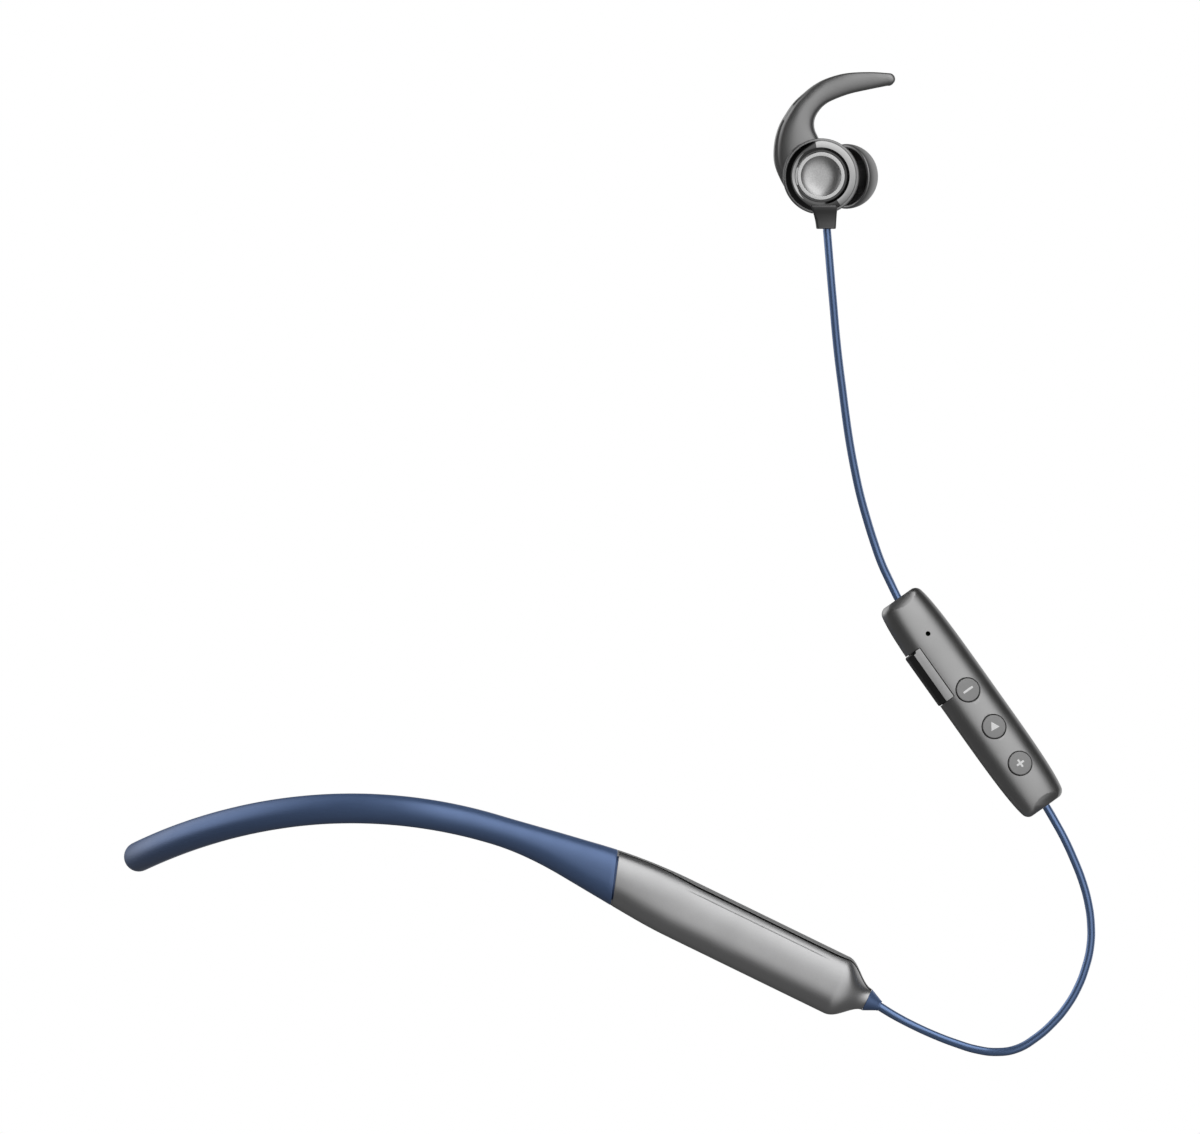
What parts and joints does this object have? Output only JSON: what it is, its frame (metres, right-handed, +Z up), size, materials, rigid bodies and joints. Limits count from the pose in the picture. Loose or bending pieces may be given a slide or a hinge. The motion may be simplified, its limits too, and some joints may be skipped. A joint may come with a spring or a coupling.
{
  "type": "neckband earphones",
  "caption": "Flexible neckband with a pod on each arm, an in-line remote in one cord, and winged in-ear earbuds on both cords.",
  "frame": {"origin": "on the band's inner face at the nape, where it rests on the neck", "axes": "+X forward along the arms, +Y to the wearer's left, +Z up"},
  "size_m": [0.1964, 0.17, 0.1994],
  "materials": {
    "band_silicone": "satin blue silicone",
    "cord_jacket": "glossy blue jacket",
    "pod_shell": "fine metallic grey lacquer, satin",
    "dark_plastic": "metallic dark grey, semi-gloss",
    "soft_silicone": "satin dark grey silicone",
    "black_rubber": "satin",
    "cap_metal": "spun and bead blasted",
    "steel": "plain",
    "cable_core": "matte",
    "cell_wrap": "foil pouch",
    "circuit_board": "solder resist"
  },
  "bodies": {
    "neckband": {"neckband": "band_silicone", "core_wire": "steel", "link_cable": "cable_core"},
    "right_arm": {"pod_outer_shell_right": "pod_shell", "pod_inner_shell_right": "dark_plastic", "battery": "cell_wrap", "pod_strain_relief_right": "band_silicone", "cord_lower_right": "cord_jacket", "cord_upper_right": "cord_jacket", "remote_front_shell": "dark_plastic", "remote_back_shell": "dark_plastic", "remote_board": "circuit_board", "tact_switches": "steel", "microphone": "steel", "charging_socket": "steel", "bud_cap_right": "cap_metal", "bud_housing_right": "dark_plastic", "bud_front_right": "dark_plastic", "speaker_driver_right": "steel", "nozzle_mesh_right": "steel", "ear_wing_right": "soft_silicone", "cable_collar_right": "black_rubber"},
    "left_arm": {"pod_outer_shell_left": "pod_shell", "pod_inner_shell_left": "dark_plastic", "main_board": "circuit_board", "pod_strain_relief_left": "band_silicone", "cord_left": "cord_jacket", "bud_cap_left": "cap_metal", "bud_housing_left": "dark_plastic", "bud_front_left": "dark_plastic", "speaker_driver_left": "steel", "nozzle_mesh_left": "steel", "ear_wing_left": "soft_silicone", "cable_collar_left": "black_rubber"},
    "minus_button": {"minus_button": "dark_plastic"},
    "play_button": {"play_button": "dark_plastic"},
    "plus_button": {"plus_button": "dark_plastic"},
    "port_cover": {"port_cover": "black_rubber"},
    "ear_tip_right": {"ear_tip_right": "soft_silicone"},
    "ear_tip_left": {"ear_tip_left": "soft_silicone"}
  },
  "joints": [
    {"name": "right_arm_spread", "type": "hinge", "parent": "neckband", "child": "right_arm", "pos_m": [0.045, -0.061, 0], "axis": [0, 0, -1], "range_deg": [-12, 25], "stiffness_Nm_per_rad": 0.15, "deforming": ["neckband", "core_wire", "link_cable"]},
    {"name": "left_arm_spread", "type": "hinge", "parent": "neckband", "child": "left_arm", "pos_m": [0.045, 0.061, 0], "axis": [0, 0, 1], "range_deg": [-12, 25], "stiffness_Nm_per_rad": 0.15},
    {"name": "minus_button_press", "type": "slide", "parent": "right_arm", "child": "minus_button", "axis": [-0.1972, 0.9703, -0.1401], "range_m": [0, 0.0003], "stiffness_N_per_m": 500, "springref_m": -0.001},
    {"name": "play_button_press", "type": "slide", "parent": "right_arm", "child": "play_button", "axis": [-0.1972, 0.9703, -0.1401], "range_m": [0, 0.0003], "stiffness_N_per_m": 500, "springref_m": -0.001},
    {"name": "plus_button_press", "type": "slide", "parent": "right_arm", "child": "plus_button", "axis": [-0.1972, 0.9703, -0.1401], "range_m": [0, 0.0003], "stiffness_N_per_m": 500, "springref_m": -0.001},
    {"name": "port_cover_hinge", "type": "hinge", "parent": "right_arm", "child": "port_cover", "pos_m": [0.15773, -0.07136, 0.03046], "axis": [0.1972, -0.9703, 0.1401], "range_deg": [0, 110]},
    {"name": "ear_tip_right_pull", "type": "slide", "parent": "right_arm", "child": "ear_tip_right", "axis": [0.6691, 0.7431, 0], "range_m": [0, 0.007]},
    {"name": "ear_tip_left_pull", "type": "slide", "parent": "left_arm", "child": "ear_tip_left", "axis": [0.6691, -0.7431, 0], "range_m": [0, 0.007]}
  ]
}
